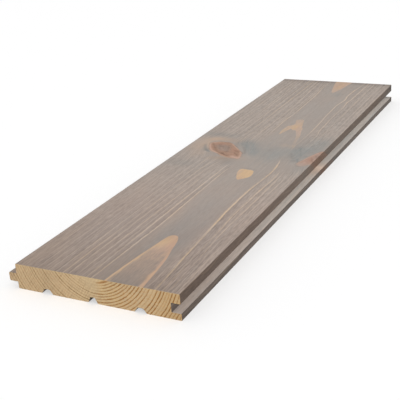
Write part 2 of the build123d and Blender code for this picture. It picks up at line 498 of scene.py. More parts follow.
# ------------------------------------------------------------------ flames
# Where the face cuts a ring's late wood flat, it shows as a broad pointed patch:
# outline, how orange, and (y, how far the colour fills it).
FLAMES = [
    (
        [(75.6, -14), (76.0, -6), (76.6, 2), (77.8, 20), (79.6, 40), (81.2, 52), (82.2, 61), (83.4, 69), (84.2, 75), (85.6, 79), (88.4, 80.8), (91.6, 79.8), (94.4, 74.8), (96.6, 67), (98, 59.5), (100.2, 50.5), (102.4, 41), (103.9, 30), (105.3, 17), (106.9, 2), (107.6, -6), (108.4, -14)],
        0.25, [(0, 0.0), (8, 0.06), (20, 0.16), (34, 0.28), (46, 0.42), (54, 0.62), (60, 0.86), (66, 0.97), (74, 0.95), (80, 0.75)], 4.3,
    ),
    (
        [(78.4, 226.4), (81, 227.8), (85, 227.2), (88.6, 226.8), (91.4, 225.6), (93, 221.6), (94.2, 216.6), (94.4, 212), (92.8, 208.4), (90.6, 205.6), (88.6, 203.4), (86.6, 201.4), (84.4, 203.6), (82, 208.8), (79.8, 214.6), (78.4, 221)],
        1.0, [(0, 1), (540, 1)], 0.3,
    ),
    (
        [(75.6, 380), (79, 382.4), (82.6, 382), (84.4, 377), (86, 371), (87.4, 365.6), (88.6, 360), (91, 354.6), (92.6, 349), (94, 342), (96.4, 333.6), (98.2, 325), (99.4, 316), (101.4, 306), (103, 297), (101.2, 298), (98.4, 309), (96.4, 318), (94.2, 327), (91.4, 334.6), (88.6, 342), (86.2, 346.4), (83.6, 345.6), (81.6, 348.4), (80.0, 349.4), (78.2, 343), (77, 337), (76, 332.2), (75, 329.6), (74, 334), (73.1, 340.6), (73.2, 347), (73.8, 352), (73.4, 357), (76, 360), (78.4, 363.4), (78.4, 368.6), (76.8, 374)],
        0.35, [(0, 0.05), (300, 0.10), (316, 0.24), (328, 0.40), (334, 0.62), (345, 0.72), (360, 0.80), (372, 0.68), (380, 0.45)], 0.3,
    ),
    (
        [(67.4, 553), (67.8, 542), (68.8, 531), (71, 519), (73.2, 507.5), (75.8, 496), (78, 490.8), (80.2, 493.6), (82.2, 500.5), (84.4, 514), (87, 533), (88, 542), (88.8, 553)],
        0.3, [(0, 0.7), (500, 0.74), (515, 0.8), (540, 0.8)], 0.3,
    ),
]
flame = np.full(u.shape, -30.0)
flame_warm, flame_fill, flame_border = np.full(u.shape, 0.4), np.ones_like(u), np.full(u.shape, 2.5)
columns = np.nonzero(on_face)[0]
for points, warm, fill, border in FLAMES:
    d = np.full(u.shape, -60.0)
    d[:, columns] = signed_distance(u[:, columns], y[:, columns], closed_spline(points))
    nearest = d > flame
    flame = np.where(nearest, d, flame)
    flame_warm = np.where(nearest, warm, flame_warm)
    flame_fill = np.where(nearest, linear(fill)(y), flame_fill)
    flame_border = np.where(nearest, border, flame_border)
flame = np.clip(flame, -8, 8)
# the left end of the second flame is the yellower one
flame_warm = flame_warm + 0.6 * blob(u, y, 74, 340, 2.4, 9) + 0.5 * blob(u, y, 81.5, 357, 2.4, 7) - 0.4 * blob(u, y, 93, 338, 4, 9)
flame_warm = flame_warm + 0.55 * blob(u, y, 87, 66, 4.5, 12) + 0.5 * (1 - smoothstep(u, 79, 86)) * (y < 90) - 0.3 * blob(u, y, 97, 60, 4, 22)
flame_warm = flame_warm - 0.55 * blob(u, y, 80.5, 217, 3, 9) - 0.4 * blob(u, y, 87, 205, 4, 5) + 0.3 * blob(u, y, 91.5, 216, 3, 9)
flame_fire = 0.4 * blob(u, y, 87, 205, 4, 6) + 0.85 * (y < 90) + 0.55 * blob(u, y, 84, 357, 3, 8) + 0.7 * blob(u, y, 78, 522, 7, 16) - 0.5 * blob(u, y, 87, 64, 4.5, 10) - 0.45 * (1 - smoothstep(u, 81, 86)) * (y < 60)
flame_fill = np.where((y > 290) & (y < 400), flame_fill * (1 - 0.5 * stroke(u, y, [(75.8, 352), (75.4, 338)], 0.7)), flame_fill)

# ------------------------------------------------------------------ stain tone and painted shade
middle = smoothstep(fibre_u, 64, 76) * (1 - smoothstep(fibre_u, 98, 110))
cool = (
    middle * linear([(0, 0.34), (100, 0.36), (140, 0.28), (180, 0.12), (245, 0.15), (330, 0.12), (420, 0.16), (460, 0.08), (540, 0.12)])(y)
    + 0.95 * blob(u, y, 54, 295, 10, 9, -50)
    + 0.85 * blob(u, y, 64, 283, 8, 14, 25)
    + 0.55 * blob(u, y, 71, 270, 6, 10, 25)
    + 0.38 * blob(u, y, 84, 278, 15, 24)
    + 0.38 * blob(u, y, 94, 268, 10, 20)
    + 0.50 * blob(u, y, 107, 286, 8, 16)
    + 0.72 * blob(u, y, 116, 272, 7, 18)
    + 0.75 * blob(u, y, 122, 293, 13, 15)
    + 0.55 * blob(u, y, 127, 316, 14, 14)
    + 0.40 * blob(u, y, 12, 314, 16, 7)
    + 0.30 * blob(u, y, 32, 313, 12, 6)
    + 0.34 * blob(u, y, 15, 226, 18, 10)
    + 0.35 * blob(u, y, 130, 240, 8, 10)
    + 0.50 * blob(u, y, 87, 483, 5, 8)
    + 0.25 * blob(u, y, 57, 241, 9, 8)
    + 0.15 * blob(u, y, 128, 335, 8, 25)
    + 0.12 * blob(u, y, 115, 322, 8, 12)
    + 0.45 * stroke(u, y, [(111, 295), (113.5, 288), (116, 281), (118, 275)], 1.0)
    + 0.45 * stroke(u, y, [(123.4, 275), (122.2, 270)], 1.6)
    + 0.60 * stroke(u, y, [(118.6, 265), (121.4, 257.6)], 1.3)
)
warm = (
    0.85 * blob(u, y, 20, 300, 10, 6, 12)
    + 0.45 * blob(u, y, 36, 299, 12, 5)
    + 0.60 * blob(u, y, 11, 287, 10, 14)
    + 0.45 * blob(u, y, 12, 270, 10, 12)
    + 0.30 * blob(u, y, 22, 255, 10, 8, 40)
    + 0.50 * blob(u, y, 47, 250, 13, 4.5, 18)
    + 0.30 * blob(u, y, 66, 252, 6, 6)
    # painted light: the near end is warmer, going with its painted shade below
    + 0.28 * (1 - smoothstep(y, 0, 80))
    + 0.20 * blob(u, y, 117, 165, 5, 40)
    + 0.25 * blob(u, y, 8, 40, 14, 60)
    + 0.35 * blob(u, y, 95, 299, 7, 5)
    + 0.30 * blob(u, y, 103, 294, 4, 6)
    + 0.30 * blob(u, y, 71.5, 110, 4, 30)
    + 0.20 * blob(u, y, 50, 245, 12, 8)
    + 0.55 * stroke(u, y, [(16.8, 289), (18.6, 282.6), (21.2, 277), (24.6, 271.2), (28.6, 266.4), (32.6, 263.2)], 1.2)
)
# painted shade and sheen: the face darkens and warms towards the near end and darkens steeply along the far edge, with
# darker spots at that edge; a darker line runs along the tongue-side arris
tone = linear([(0, -0.23), (8, -0.205), (30, -0.155), (70, -0.07), (110, -0.02), (160, 0.03), (200, 0.025), (330, 0.015), (390, 0.025), (470, 0.012), (500, -0.01), (525, -0.05), (530, -0.10), (534, -0.22), (540, -0.24)])(y)
tone = (
    tone
    + 0.06 * blob(u, y, 20, 300, 10, 6, 12)
    + 0.10 * blob(u, y, 9, 288, 10, 12)
    + 0.05 * blob(u, y, 12, 270, 10, 12)
    - 0.10 * blob(u, y, 22, 313, 11, 5)
    - 0.07 * blob(u, y, 52, 296, 8, 7)
    - 0.12 * blob(u, y, 57, 241, 7, 7)
    - 0.05 * blob(u, y, 20, 226, 12, 8)
    - 0.05 * blob(u, y, 113, 267, 7, 5)
    + 0.04 * blob(u, y, 72, 258, 5, 10)
    + 0.04 * blob(u, y, 117, 170, 8, 50)
    - 0.05 * (1 - smoothstep(u, 0.2, 1.4))
    + 0.032 * middle * smoothstep(y, 60, 150)
    + 0.05 * blob(u, y, 71.5, 120, 4, 50)
    + 0.03 * blob(u, y, 115, 160, 6, 20)
    + 0.03 * blob(u, y, 38, 355, 24, 20)
    + 0.04 * blob(u, y, 100, 525, 18, 8)
    + 0.03 * blob(u, y, 95, 299, 7, 5)
    - 0.16 * blob(u, y, 50, 537, 8, 4)
    - 0.17 * blob(u, y, 128, 537, 6, 4)
    - 0.04 * blob(u, y, 8, 537, 6, 4)
    - 0.10 * stroke(u, y, [(111, 295), (113.5, 288), (116, 281), (118, 275)], 0.9)
    - 0.12 * stroke(u, y, [(107.3, 279.5), (109, 275)], 0.9)
    - 0.10 * stroke(u, y, [(110.5, 272), (112.5, 266)], 0.9)
    - 0.14 * blob(u, y, 116, 260, 3.2, 1.8)
    - 0.12 * blob(u, y, 124.2, 274, 1.4, 1.8)
    - 0.10 * stroke(u, y, [(118.6, 265), (121.4, 257.6)], 1.0)
    + 0.06 * blob(u, y, 113, 263, 1.4, 1.6)
    + 0.05 * blob(u, y, 118, 252, 3, 4)
    + 0.07 * stroke(u, y, [(117.4, 271), (117, 266)], 0.9)
    - 0.05 * blob(u, y, 85, 283, 2.4, 4)
    - 0.06 * blob(u, y, 97, 255, 2, 3)
    + 0.05 * stroke(u, y, [(64, 272), (69, 263), (75, 255)], 1.2)
    - 0.08 * stroke(u, y, [(46, 290), (50, 283), (54, 277)], 1.2)
    - 0.15 * stroke(u, y, [(57, 284), (62, 274), (64.8, 266.5)], 1.5)
    - 0.09 * stroke(u, y, [(45.2, 298), (46, 290.6)], 1.3)
    - 0.07 * stroke(u, y, [(56, 290), (59.4, 283)], 1.3)
    + 0.05 * stroke(u, y, [(57, 285.5), (60.5, 278)], 0.9)
    + 0.20 * blob(u, y, 26, 261.2, 1.6, 1.8)
    - 0.14 * blob(u, y, 24.4, 266.6, 2.8, 3.6, 35)
    - 0.06 * stroke(u, y, [(24.5, 296), (29, 294.6)], 1.6)
    + 0.08 * stroke(u, y, [(16.8, 289), (18.6, 282.6), (21.2, 277), (24.6, 271.2), (28.6, 266.4), (32.6, 263.2)], 1.1)
    - 0.07 * blob(u, y, 50, 248, 7, 3.5)
    - 0.05 * blob(u, y, 125, 285, 3, 4)
    - 0.11 * stroke(u, y, [(77.4, 228.6), (84, 229.8), (91.8, 228.2)], 1.3)
    - 0.05 * blob(u, y, 50, 250, 8, 5)
)
# a dark crescent of bark under the first knot's left side
crescent = stroke(u, y, [(16.6, 280.5), (18.6, 275), (21.4, 269.8), (24.8, 265.8), (28.2, 263.4)], 2.0) * (v > 12)
crescent = crescent * smoothstep(r_first, 1.0, 1.12)
cool = cool + 1.0 * crescent
tone = tone - (0.12 - 0.05 * smoothstep(u, 22, 26)) * crescent
# the groove's floor is greyer, except beside the second knot, and darker or lighter along its length; its negative soak
# below is painted light, as it lies in shade under the lip
beside = blob(0 * y, y, 0, 284, 1, 14)
cool = np.where(in_groove, linear([(0, 0.3), (120, 0.5), (220, 0.85), (540, 0.85)])(y) * (1 - beside), cool)
warm = np.where(in_groove, 0.15 + 0.5 * beside, warm)
tone = np.where(in_groove, tone + linear([(0, -0.10), (60, -0.11), (120, -0.08), (240, -0.10), (254, -0.07), (262, -0.07), (268, -0.10), (274, -0.19), (281, -0.16), (288, 0.04), (296, -0.12), (304, -0.12), (330, -0.11), (400, -0.04), (470, -0.04), (540, -0.07)])(y), tone)

# how much stain each side took, and how dark each side is made: the edges soak up stain, and the groove-side lips, the
# groove's wall and roof and the relief grooves' walls carry painted shade; the groove's floor, below zero, carries
# painted light
STAIN = {
    "face": (1.0, 0.0), "shoulder": (1.0, 0.5), "tongue_top": (1.0, 0.12), "tongue_nose": (0.95, 0.5),
    "tongue_under": (0.85, 0.4), "low_shoulder": (0.85, 0.4), "low_lip": (1.0, 1.0), "groove_floor": (1.0, -1.2),
    "groove_wall": (1.0, 0.9), "groove_roof": (0.95, 0.8), "high_lip": (1.0, 1.0), "under": (0.38, 0.1), "relief": (0.9, 1.14),
}
stain = np.tile([STAIN[z][0] for z in side_zone], (S, 1))
soak = np.tile([STAIN[z][1] for z in side_zone], (S, 1))
low_lip = np.tile([z == "low_lip" for z in side_zone], (S, 1))
high_lip = np.tile([z == "high_lip" for z in side_zone], (S, 1))
# painted shade on the groove-side lips, a little uneven along the length
soak = np.where(low_lip, linear([(0, 1.02), (240, 1.02), (275, 1.05), (285, 1.04), (297, 0.99), (310, 1.04), (360, 1.02)])(y), soak)
soak = np.where(high_lip, linear([(0, 1.02), (150, 1.02), (220, 0.98), (300, 1.0), (400, 1.03), (480, 1.06), (540, 1.06)])(y), soak)
# painted shade: the broken edge beside the groove is darkened as dark as the lip below it
soak = np.where((u > 130) & face_mask, 1 - smoothstep(v, THICKNESS - 0.24, THICKNESS - 0.004), soak)
# the edges darkened with painted shade are also browner, most of all through the second knot
brown = np.where(high_lip | ((u > 134) & face_mask), 0.31 * (1 - 0.6 * smoothstep(y, 470, 530)) + 0.33 * blob(0 * y, y, 0, 278, 1, 20), 0.0)
brown = np.where(face_mask, brown * soak, brown)
brown = np.where(low_lip, 0.06 + 0.6 * blob(0 * y, y, 0, 290, 1, 10), brown)
# strokes that the knots carry on the face: dark cracks and rings, pale rims
knot_dark = (
    0.45 * stroke(u, y, [(22.5, 286), (26, 280.5), (29, 275.5), (32, 270.5), (36.5, 265), (41, 262.3), (44.5, 260.6)], 1.1)
    + 0.75 * stroke(u, y, [(42.5, 262), (45.5, 260), (48, 257.8), (50.6, 257)], 1.0)
    + 0.50 * stroke(u, y, [(43.4, 264.6), (46.6, 267.6)], 1.1)
    + 0.42 * stroke(u, y, [(52.8, 271.4), (55, 270.2), (57, 269)], 1.7)
    + 0.50 * stroke(u, y, [(54.4, 266), (57, 262.8), (60, 259.6)], 0.9)
    + 0.35 * stroke(u, y, [(32.6, 292), (36, 290.6), (39.6, 290.8)], 1.0)
    + 0.40 * stroke(u, y, [(45, 288.4), (47.4, 285)], 0.9)
    + 0.22 * stroke(u, y, [(35.6, 281), (39, 272)], 0.9)
    + 0.22 * stroke(u, y, [(40.6, 284), (44, 275)], 0.9)
    + 0.30 * stroke(u, y, [(30, 285), (33.4, 279)], 1.4)
    + 0.35 * stroke(u, y, [(130.4, 271), (132.6, 265.4), (134.6, 261)], 0.9)
    + 0.30 * stroke(u, y, [(132.6, 277), (134.8, 271.4)], 0.8)
    + 0.20 * blob(u, y, 132.6, 280, 1.8, 6)
)
knot_light = (
    0.80 * stroke(u, y, [(19, 287), (20.8, 282.2), (23.2, 276.8), (26.2, 271.6), (29.8, 267), (33.8, 264), (37.8, 261.6)], 0.9)
    + 0.40 * blob(u, y, 23.4, 288.6, 2.2, 2.0)
    + 0.50 * stroke(u, y, [(43, 288.4), (47, 283.6), (50.4, 279.8), (53.6, 276)], 0.8)
    + 0.60 * stroke(u, y, [(59.6, 268.6), (62, 264.6), (63.2, 259), (64.6, 254)], 0.9)
    + 0.80 * stroke(u, y, [(56.6, 255.4), (63.4, 252.8)], 2.2)
    + 0.35 * stroke(u, y, [(43, 256.6), (48, 254.2)], 1.5)
    + 0.30 * stroke(u, y, [(36, 276), (41, 270)], 1.3)
    + 0.35 * stroke(u, y, [(131.8, 288.6), (129.2, 280.6), (126.6, 273), (124.4, 265)], 0.9)
    + 0.45 * blob(u, y, 126, 254, 3.4, 4.5)
    + 0.30 * blob(u, y, 132, 284, 2.0, 4.0)
    + 0.25 * blob(u, y, 127.6, 261, 2.0, 4.0)
)
knot_dark, knot_light = (np.clip(f * face_mask, 0, 1) for f in (knot_dark, knot_light))
knot_red = np.clip(blob(u, y, 130.6, 266, 2.4, 6) + 0.7 * blob(u, y, 51, 272, 4, 6, 40) + 0.45 * blob(u, y, 31, 286, 8, 4) + 0.5 * blob(u, y, 27, 274, 2, 5, 30) + 0.4 * blob(u, y, 55, 261, 3, 3), 0, 1)

# ------------------------------------------------------------------ relief
# the knots dried a hair below and above the planed face, the rest is flat
r1, r2 = r_first, r_second
lift = 0.10 * (1 - smoothstep(r1, 0.2, 0.95)) - 0.12 * np.exp(-(((r1 - 1.02) / 0.10) ** 2))
lift += 0.08 * (1 - smoothstep(r2, 0.2, 0.95)) - 0.10 * np.exp(-(((r2 - 1.02) / 0.10) ** 2))
lift += 0.012 * np.sin(2 * math.pi * y / 6.3 + 0.05 * u)
lift *= face_mask * smoothstep(v, 19.6, 20.0)
ends = np.zeros_like(lift)
ends[1:-1] = 1
lift *= ends
v_shaped = v + lift
# the underside is rougher from the cutter: shallow ripples across it
ripple = 0.02 * np.sin(2 * math.pi * y / 4.1 + 0.6 * np.sin(u / 19))
v_shaped = v_shaped + ripple * (v < 0.01) * ends + 0.02 * (v < 0.01) * ends

# ------------------------------------------------------------------ end faces
field_names = ["ring", "gap", "late", "late_warm", "outer", "fine", "patch", "patch_warm", "patch_fill",
               "patch_border", "patch_fire", "calm", "cool", "warm", "tone", "stain", "soak", "brown",
               "knot_dark", "knot_light", "knot_red"]
fields = [phase, gap, line, warm_line, outer, fine, flame, flame_warm, flame_fill,
          flame_border, flame_fire, calm, cool, warm, tone, stain, soak, brown, knot_dark, knot_light, knot_red]
co = np.stack([u, y, v_shaped], -1).reshape(-1, 3)
grain = np.stack([fibre_u, y, v], -1).reshape(-1, 3)
knot_a = np.stack([k1[0], k1[1], 0 * u], -1).reshape(-1, 3)
knot_b = np.where(in_groove[..., None], 9.0, np.stack([k2[0], k2[1], 0 * u], -1)).reshape(-1, 3)
values = {n: f.reshape(-1) for n, f in zip(field_names, fields)}


def fill_end(row, seed):
    """Vertices and triangles that close one end, on a fine mesh."""
    rim = np.stack([u[row], v[row]], 1)
    r = np.random.default_rng(seed)
    step = 0.86
    gu, gv = np.meshgrid(np.arange(-8, 137, step), np.arange(0, 21, step * 0.87))
    gu = gu + (np.arange(gu.shape[0]) % 2)[:, None] * step / 2
    gu, gv = gu.ravel() + r.uniform(-0.08, 0.08, gu.size), gv.ravel() + r.uniform(-0.08, 0.08, gv.size)
    keep = signed_distance(gu, gv, rim) > 0.42
    pts = np.concatenate([rim, np.stack([gu[keep], gv[keep]], 1)])
    loop = [(i, (i + 1) % P) for i in range(P)]
    made = delaunay_2d_cdt([Vector(p) for p in pts], loop, [], 1, 1e-5)
    return np.array([(p[0], p[1]) for p in made[0]]), [list(f) for f in made[2]], made[3]


def end_relief(u, v, y0):
    """How far the sawn end stands in from its plane: late wood proud, saw marks cut in."""
    phase, _, strength, to_right, radius, _ = rings(u, np.full(u.shape, y0), v)
    wave = np.cos(2 * math.pi * (phase - 0.1)) * 0.5 + 0.5
    q = u * math.sin(math.radians(56)) - v * math.cos(math.radians(56))
    saw = np.sin(2 * math.pi * (q / 1.95 + 0.15 * np.sin(q / 7.0)))
    return 0.05 - 0.035 * wave * strength + 0.02 * saw * (1 - 0.7 * to_right)


extra_co, extra_faces, faces, face_kind = [], [], [], []
for i in range(S - 1):
    for j in range(P):
        k = (j + 1) % P
        faces.append((i * P + j, i * P + k, (i + 1) * P + k, (i + 1) * P + j))
        face_kind.append(1 if i in (0, S - 2) else 0)
count = S * P
end_of_vertex = {}
for row, near, seed in ((0, True, 3), (S - 1, False, 4)):
    pts, tris, origin = fill_end(row, seed)
    number = []
    for i, from_ in enumerate(origin):
        rim = [k for k in from_ if k < P]
        if rim:
            number.append(row * P + rim[0])
        else:
            number.append(count + len(extra_co))
            depth = float(end_relief(pts[i : i + 1, 0], pts[i : i + 1, 1], stations[row])[0])
            extra_co.append((pts[i, 0], stations[row] + (depth if near else -depth), pts[i, 1]))
    for t in tris:
        a, b, c = (pts[k] for k in t)
        if (b[0] - a[0]) * (c[1] - a[1]) - (b[1] - a[1]) * (c[0] - a[0]) < 0:
            t = t[::-1]
        t = [number[k] for k in t]
        faces.append(tuple(t) if near else tuple(t[::-1]))
        face_kind.append(2 if near else 3)
extra_co = np.array(extra_co)
more = len(extra_co)
co = np.concatenate([co, extra_co])
grain = np.concatenate([grain, extra_co])
knot_a = np.concatenate([knot_a, np.full((more, 3), 9.0)])
knot_b = np.concatenate([knot_b, np.full((more, 3), 9.0)])
for n in values:
    values[n] = np.concatenate([values[n], np.full(more, 1.0)])
# ring fields on the ends
e_phase, e_gap, e_late, e_right, e_radius, e_angle = rings(co[:, 0], co[:, 1], co[:, 2])
WEDGE = [(69.8, 16.3), (72.5, 16.7), (76, 17.7), (79, 19), (81.2, 20.6), (78.6, 20.8), (76, 19.8), (73, 18.3), (71, 17.3)]
wedge = smoothstep(signed_distance(co[:, 0], co[:, 2], WEDGE), -0.45, 0.45)
pale = np.exp(-(((co[:, 0] - 66.5) / 6.5) ** 2)) * smoothstep(co[:, 2], 5, 14)
values.update(
    end_ring=e_phase, end_gap=e_gap, end_late=e_late * (1 + 0.35 * (1 - e_right)) * (1 - 0.75 * pale), end_right=e_right,
    end_wedge=wedge, end_pale=pale,
)
end_polar = np.stack([e_angle * 45.0, e_radius, co[:, 1] * 0.0], -1)

# ------------------------------------------------------------------ mesh
mesh = bpy.data.meshes.new("board")
xyz = np.stack([co[:, 0] + U0, co[:, 1] - LENGTH / 2, co[:, 2]], 1) / 1000.0
mesh.from_pydata(xyz.tolist(), [], faces)
mesh.validate(verbose=False)
board = bpy.data.objects.new("board", mesh)
bpy.context.scene.collection.objects.link(board)
face_kind = np.array(face_kind)
if len(mesh.polygons) != len(face_kind) or len(mesh.vertices) != len(xyz):
    raise RuntimeError("the board's mesh lost faces")

for name, data in values.items():
    a = mesh.attributes.new(name, "FLOAT", "POINT")
    a.data.foreach_set("value", data.astype(np.float32))
for name, data in (("grain", grain), ("knot_a", knot_a), ("knot_b", knot_b), ("end_polar", end_polar)):
    a = mesh.attributes.new(name, "FLOAT_VECTOR", "POINT")
    a.data.foreach_set("vector", data.astype(np.float32).ravel())

mesh.polygons.foreach_set("material_index", (face_kind > 0).astype(np.int32))
mesh.polygons.foreach_set("use_smooth", np.ones(len(face_kind), bool))
mesh.set_sharp_from_angle(angle=math.radians(32))

# ------------------------------------------------------------------ map
# One flat layout: face, underside, groove side, tongue side, both ends.
STRIPS = {
    "face": (2, 508), "under": (514, 254), "right": (772, 108), "left": (884, 60),
}
STRIP_OF = {
    "face": "face", "under": "under", "relief": "under", "low_lip": "right", "groove_floor": "right",
    "groove_wall": "right", "groove_roof": "right", "high_lip": "right", "shoulder": "left",
    "tongue_top": "left", "tongue_nose": "left", "tongue_under": "left", "low_shoulder": "left",
}
step = np.linalg.norm(np.roll(outline, -1, 0) - outline, axis=1)
strip_start = {}
along = np.zeros((P, 2))  # arc length at both ends of each side, in its strip
first = next(j for j in range(P) if STRIP_OF[side_zone[j]] != STRIP_OF[side_zone[j - 1]])
total = {}
for n in range(P):
    j = (first + n) % P
    s = STRIP_OF[side_zone[j]]
    a = total.get(s, 0.0)
    along[j] = a, a + step[j]
    total[s] = a + step[j]
uv = np.zeros((len(mesh.loops), 2))
loop_vertex = np.zeros(len(mesh.loops), np.int32)
mesh.loops.foreach_get("vertex_index", loop_vertex)
long_faces = (S - 1) * P
quad = np.arange(long_faces)
qi, qj = quad // P, quad % P
left_px = np.array([STRIPS[STRIP_OF[side_zone[j]]][0] for j in range(P)], float)
width_px = np.array([STRIPS[STRIP_OF[side_zone[j]]][1] for j in range(P)], float)
length_mm = np.array([total[STRIP_OF[side_zone[j]]] for j in range(P)])
flip = np.array([STRIP_OF[side_zone[j]] == "face" for j in range(P)])
pa = along[:, 0] / length_mm
pb = along[:, 1] / length_mm
pa, pb = np.where(flip, 1 - pa, pa), np.where(flip, 1 - pb, pb)
xa, xb = left_px + pa * width_px, left_px + pb * width_px
row_px = 2 + stations / LENGTH * 1020
# a side's corners go round as (i, j) (i, j+1) (i+1, j+1) (i+1, j)
uv[0 : 4 * long_faces : 4] = np.stack([xa[qj], row_px[qi]], 1)
uv[1 : 4 * long_faces : 4] = np.stack([xb[qj], row_px[qi]], 1)
uv[2 : 4 * long_faces : 4] = np.stack([xb[qj], row_px[qi + 1]], 1)
uv[3 : 4 * long_faces : 4] = np.stack([xa[qj], row_px[qi + 1]], 1)
# ends, and the broken edge round each
per_mm = 3.5
end_quad = np.repeat(np.isin(qi, (0, S - 2)), 4)
at = co[loop_vertex]
flat = np.stack([947 + (at[:, 2]) * per_mm, 4 + (at[:, 0] + 7) * per_mm], 1)
flat_far = flat + np.array((0, 514.0))
is_near = at[:, 1] < LENGTH / 2
end_loops = np.ones(len(uv), bool)
end_loops[: 4 * long_faces] = end_quad
uv[end_loops] = np.where(is_near[:, None], flat, flat_far)[end_loops]
layer = mesh.uv_layers.new(name="OFBake")
layer.data.foreach_set("uv", (uv / 1024.0).astype(np.float32).ravel())


# ------------------------------------------------------------------ node graphs
def lin(r, g, b, light=1.0):
    """Linear colour of an sRGB one given in 0 to 255, divided by the light it was seen in."""
    out = []
    for c, seen in zip((r, g, b), light if isinstance(light, tuple) else (light,) * 3):
        c /= 255.0
        out.append((c / 12.92 if c <= 0.04045 else ((c + 0.055) / 1.055) ** 2.4) / seen)
    return tuple(out)


class Value:
    """A number or colour in a node graph, with arithmetic."""

    def __init__(self, graph, socket):
        self.graph, self.socket = graph, socket

    def _op(self, op, a, b=None):
        return self.graph.math(op, a, b)

    def __add__(self, o):
        return self._op("ADD", self, o)

    def __radd__(self, o):
        return self._op("ADD", o, self)

    def __sub__(self, o):
        return self._op("SUBTRACT", self, o)

    def __rsub__(self, o):
        return self._op("SUBTRACT", o, self)

    def __mul__(self, o):
        return self._op("MULTIPLY", self, o)

    def __rmul__(self, o):
        return self._op("MULTIPLY", o, self)

    def __truediv__(self, o):
        return self._op("DIVIDE", self, o)

    def __neg__(self):
        return self._op("MULTIPLY", self, -1.0)


class Graph:
    def __init__(self, name):
        self.material = bpy.data.materials.new(name)
        self.material.use_nodes = True
        self.tree = self.material.node_tree
        self.tree.nodes.clear()

    def node(self, kind, **settings):
        n = self.tree.nodes.new(kind)
        for k, x in settings.items():
            setattr(n, k, x)
        return n

    def put(self, socket, x):
        if isinstance(x, Value):
            self.tree.links.new(x.socket, socket)
        elif isinstance(x, (tuple, list)):
            x = tuple(x)
            socket.default_value = x + (1.0,) if len(socket.default_value) == 4 and len(x) == 3 else x
        else:
            socket.default_value = x

    def math(self, op, a, b=None, c=None):
        n = self.node("ShaderNodeMath", operation=op)
        self.put(n.inputs[0], a)
        if b is not None:
            self.put(n.inputs[1], b)
        if c is not None:
            self.put(n.inputs[2], c)
        return Value(self, n.outputs[0])

    def field(self, name):
        n = self.node("ShaderNodeAttribute", attribute_type="GEOMETRY", attribute_name=name)
        return Value(self, n.outputs["Fac"])

    def vector(self, name):
        n = self.node("ShaderNodeAttribute", attribute_type="GEOMETRY", attribute_name=name)
        return Value(self, n.outputs["Vector"])

    def split(self, x):
        n = self.node("ShaderNodeSeparateXYZ")
        self.put(n.inputs[0], x)
        return [Value(self, s) for s in n.outputs]

    def join(self, x, y, z=0.0):
        n = self.node("ShaderNodeCombineXYZ")
        for s, a in zip(n.inputs, (x, y, z)):
            self.put(s, a)
        return Value(self, n.outputs[0])

    def stretch(self, x, by, shift=(0.0, 0.0, 0.0)):
        n = self.node("ShaderNodeVectorMath", operation="MULTIPLY_ADD")
        self.put(n.inputs[0], x)
        n.inputs[1].default_value = by
        n.inputs[2].default_value = shift
        return Value(self, n.outputs[0])

    def noise(self, where, by, detail=2.0, rough=0.5, shift=(0.0, 0.0, 0.0), distort=0.0):
        """About 0 to 1, mostly near the middle, in cells of 1/by mm."""
        n = self.node("ShaderNodeTexNoise", noise_dimensions="3D")
        self.put(n.inputs["Vector"], self.stretch(where, by, shift))
        n.inputs["Scale"].default_value = 1.0
        n.inputs["Detail"].default_value = detail
        n.inputs["Roughness"].default_value = rough
        n.inputs["Distortion"].default_value = distort
        return Value(self, n.outputs["Fac"])

    def step(self, x, lo, hi, a=0.0, b=1.0):
        n = self.node("ShaderNodeMapRange", interpolation_type="SMOOTHSTEP")
        for s, val in zip(("Value", "From Min", "From Max", "To Min", "To Max"), (x, lo, hi, a, b)):
            self.put(n.inputs[s], val)
        return Value(self, n.outputs[0])

    def mix(self, share, a, b, blend="MIX"):
        n = self.node("ShaderNodeMix", data_type="RGBA", blend_type=blend, clamp_factor=True)
        self.put(n.inputs["Factor"], share)
        self.put([s for s in n.inputs if s.name == "A" and s.type == "RGBA"][0], a)
        self.put([s for s in n.inputs if s.name == "B" and s.type == "RGBA"][0], b)
        return Value(self, [s for s in n.outputs if s.type == "RGBA"][0])

    def scaled(self, colour, by):
        n = self.node("ShaderNodeVectorMath", operation="SCALE")
        self.put(n.inputs[0], colour)
        self.put(n.inputs["Scale"], by)
        return Value(self, n.outputs[0])

    def low(self, a, b):
        return self.math("MINIMUM", a, b)

    def high(self, a, b):
        return self.math("MAXIMUM", a, b)

    def inside(self, x):
        return self.low(self.high(x, 0.0), 1.0)

    def finish(self, colour, roughness, height, depth_m, specular, strength=1.0):
        shader = self.node("ShaderNodeBsdfPrincipled")
        self.put(shader.inputs["Base Color"], colour)
        self.put(shader.inputs["Roughness"], roughness)
        shader.inputs["Specular IOR Level"].default_value = specular
        bump = self.node("ShaderNodeBump")
        bump.inputs["Strength"].default_value = strength
        bump.inputs["Distance"].default_value = depth_m
        self.put(bump.inputs["Height"], height)
        self.tree.links.new(bump.outputs[0], shader.inputs["Normal"])
        out = self.node("ShaderNodeOutputMaterial")
        self.tree.links.new(shader.outputs[0], out.inputs["Surface"])
        return self.material


# ------------------------------------------------------------------ stained wood
LIGHT = (1.106, 1.102, 1.088)  # of the face in the pictures the colours below were judged by

g = Graph("stained_softwood")
grain_at = g.vector("grain")
ring, gap_, late, late_warm = g.field("ring"), g.field("gap"), g.field("late"), g.field("late_warm")
outer_, fine_, cool_, warm_, tone_and_shade_ = g.field("outer"), g.field("fine"), g.field("cool"), g.field("warm"), g.field("tone")
stain_, soak_shade_and_light_ = g.field("stain"), g.field("soak")

